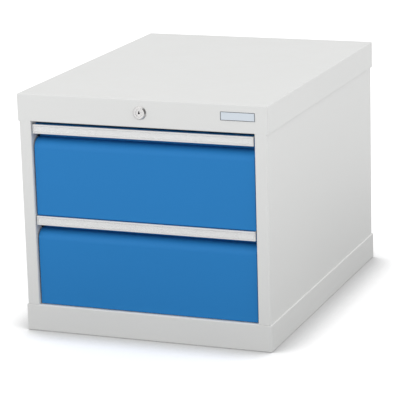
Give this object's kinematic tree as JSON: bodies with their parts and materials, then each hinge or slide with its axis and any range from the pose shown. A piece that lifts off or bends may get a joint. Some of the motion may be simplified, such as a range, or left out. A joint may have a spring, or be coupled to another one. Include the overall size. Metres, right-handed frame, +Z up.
{
  "type": "drawer cabinet",
  "caption": "Low light-grey sheet-steel workshop cabinet with blue full-extension drawers, label-holding grip strips and a key lock that bars the drawers",
  "frame": {"origin": "middle of the footprint, on the floor", "axes": "+X to the right as seen from the front, +Y from the drawer fronts to the back, +Z up"},
  "size_m": [0.555, 0.74, 0.519],
  "materials": {
    "light_grey_paint": "light grey powder coat, satin with fine orange peel",
    "blue_paint": "mid blue powder coat, satin with fine orange peel",
    "tray_grey_paint": "light grey powder coat inside the drawers",
    "coated_aluminium": "light grey coated aluminium extrusion",
    "grey_plastic": "moulded light grey plastic",
    "label_card": "bare white label card",
    "clear_plastic": "clear plastic cover strip",
    "zinc_plated_steel": "bright zinc plated steel",
    "cage_steel": "oiled steel strip",
    "lock_nickel": "nickel plated die casting",
    "plate_foil": "bare pale plate with a dark edge",
    "black_rubber": "black rubber"
  },
  "bodies": {
    "cabinet": {"top_cover": "light_grey_paint", "side_panel_left": "light_grey_paint", "side_panel_right": "light_grey_paint", "back_panel": "light_grey_paint", "base_plinth": "light_grey_paint", "bottom_pan": "light_grey_paint", "front_upright_left": "light_grey_paint", "front_upright_right": "light_grey_paint", "rear_upright_left": "light_grey_paint", "rear_upright_right": "light_grey_paint", "name_plate": "plate_foil", "rail_buffers": "black_rubber", "lock_housing": "lock_nickel", "lock_nut": "zinc_plated_steel", "lock_slide_guides": "zinc_plated_steel", "lock_bar_guides": "zinc_plated_steel", "upper_cabinet_rail_left": "zinc_plated_steel", "upper_cabinet_rail_right": "zinc_plated_steel", "lower_cabinet_rail_left": "zinc_plated_steel", "lower_cabinet_rail_right": "zinc_plated_steel"},
    "upper_drawer": {"upper_drawer_front": "blue_paint", "upper_inner_front": "blue_paint", "upper_tray": "tray_grey_paint", "upper_front_fixings": "zinc_plated_steel", "upper_grip": "coated_aluminium", "upper_grip_caps": "grey_plastic", "upper_label": "label_card", "upper_label_cover": "clear_plastic", "upper_catch": "zinc_plated_steel", "upper_divider_strips": "tray_grey_paint", "upper_drawer_rail_left": "zinc_plated_steel", "upper_drawer_rail_right": "zinc_plated_steel"},
    "upper_middle_rails": {"upper_middle_rail_left": "zinc_plated_steel", "upper_middle_rail_right": "zinc_plated_steel"},
    "upper_outer_cages": {"upper_outer_cages": "cage_steel"},
    "upper_inner_cages": {"upper_inner_cages": "cage_steel"},
    "lower_drawer": {"lower_drawer_front": "blue_paint", "lower_inner_front": "blue_paint", "lower_tray": "tray_grey_paint", "lower_front_fixings": "zinc_plated_steel", "lower_grip": "coated_aluminium", "lower_grip_caps": "grey_plastic", "lower_label": "label_card", "lower_label_cover": "clear_plastic", "lower_catch": "zinc_plated_steel", "lower_divider_strips": "tray_grey_paint", "lower_drawer_rail_left": "zinc_plated_steel", "lower_drawer_rail_right": "zinc_plated_steel"},
    "lower_middle_rails": {"lower_middle_rail_left": "zinc_plated_steel", "lower_middle_rail_right": "zinc_plated_steel"},
    "lower_outer_cages": {"lower_outer_cages": "cage_steel"},
    "lower_inner_cages": {"lower_inner_cages": "cage_steel"},
    "lock_plug": {"lock_plug": "lock_nickel", "lock_cam": "zinc_plated_steel", "cam_screw": "zinc_plated_steel"},
    "lock_slide": {"lock_slide": "zinc_plated_steel"},
    "lock_bar": {"lock_bar": "zinc_plated_steel"}
  },
  "joints": [
    {"name": "upper_drawer_slide", "type": "slide", "parent": "cabinet", "child": "upper_drawer", "axis": [0, -1, 0], "range_m": [0, 0.6]},
    {"name": "upper_middle_rails_slide", "type": "slide", "parent": "cabinet", "child": "upper_middle_rails", "axis": [0, -1, 0], "range_m": [0, 0.3]},
    {"name": "upper_outer_cages_slide", "type": "slide", "parent": "cabinet", "child": "upper_outer_cages", "axis": [0, -1, 0], "range_m": [0, 0.15]},
    {"name": "upper_inner_cages_slide", "type": "slide", "parent": "cabinet", "child": "upper_inner_cages", "axis": [0, -1, 0], "range_m": [0, 0.45]},
    {"name": "lower_drawer_slide", "type": "slide", "parent": "cabinet", "child": "lower_drawer", "axis": [0, -1, 0], "range_m": [0, 0.6]},
    {"name": "lower_middle_rails_slide", "type": "slide", "parent": "cabinet", "child": "lower_middle_rails", "axis": [0, -1, 0], "range_m": [0, 0.3]},
    {"name": "lower_outer_cages_slide", "type": "slide", "parent": "cabinet", "child": "lower_outer_cages", "axis": [0, -1, 0], "range_m": [0, 0.15]},
    {"name": "lower_inner_cages_slide", "type": "slide", "parent": "cabinet", "child": "lower_inner_cages", "axis": [0, -1, 0], "range_m": [0, 0.45]},
    {"name": "lock_turn", "type": "hinge", "parent": "cabinet", "child": "lock_plug", "pos_m": [0, -0.366, 0.491], "axis": [0, 1, 0], "range_deg": [0, 90]},
    {"name": "lock_slide_move", "type": "slide", "parent": "cabinet", "child": "lock_slide", "axis": [-1, 0, 0], "range_m": [0, 0.01]},
    {"name": "lock_bar_drop", "type": "slide", "parent": "cabinet", "child": "lock_bar", "axis": [0, 0, -1], "range_m": [0, 0.01]}
  ],
  "couplings": [
    {"joint": "upper_middle_rails_slide", "follows": "upper_drawer_slide", "ratio": 0.5},
    {"joint": "upper_outer_cages_slide", "follows": "upper_drawer_slide", "ratio": 0.25},
    {"joint": "upper_inner_cages_slide", "follows": "upper_drawer_slide", "ratio": 0.75},
    {"joint": "lower_middle_rails_slide", "follows": "lower_drawer_slide", "ratio": 0.5},
    {"joint": "lower_outer_cages_slide", "follows": "lower_drawer_slide", "ratio": 0.25},
    {"joint": "lower_inner_cages_slide", "follows": "lower_drawer_slide", "ratio": 0.75},
    {"joint": "lock_turn", "follows": "lock_bar_drop", "rad_per_m": 157.07},
    {"joint": "lock_slide_move", "follows": "lock_bar_drop", "ratio": 1}
  ]
}
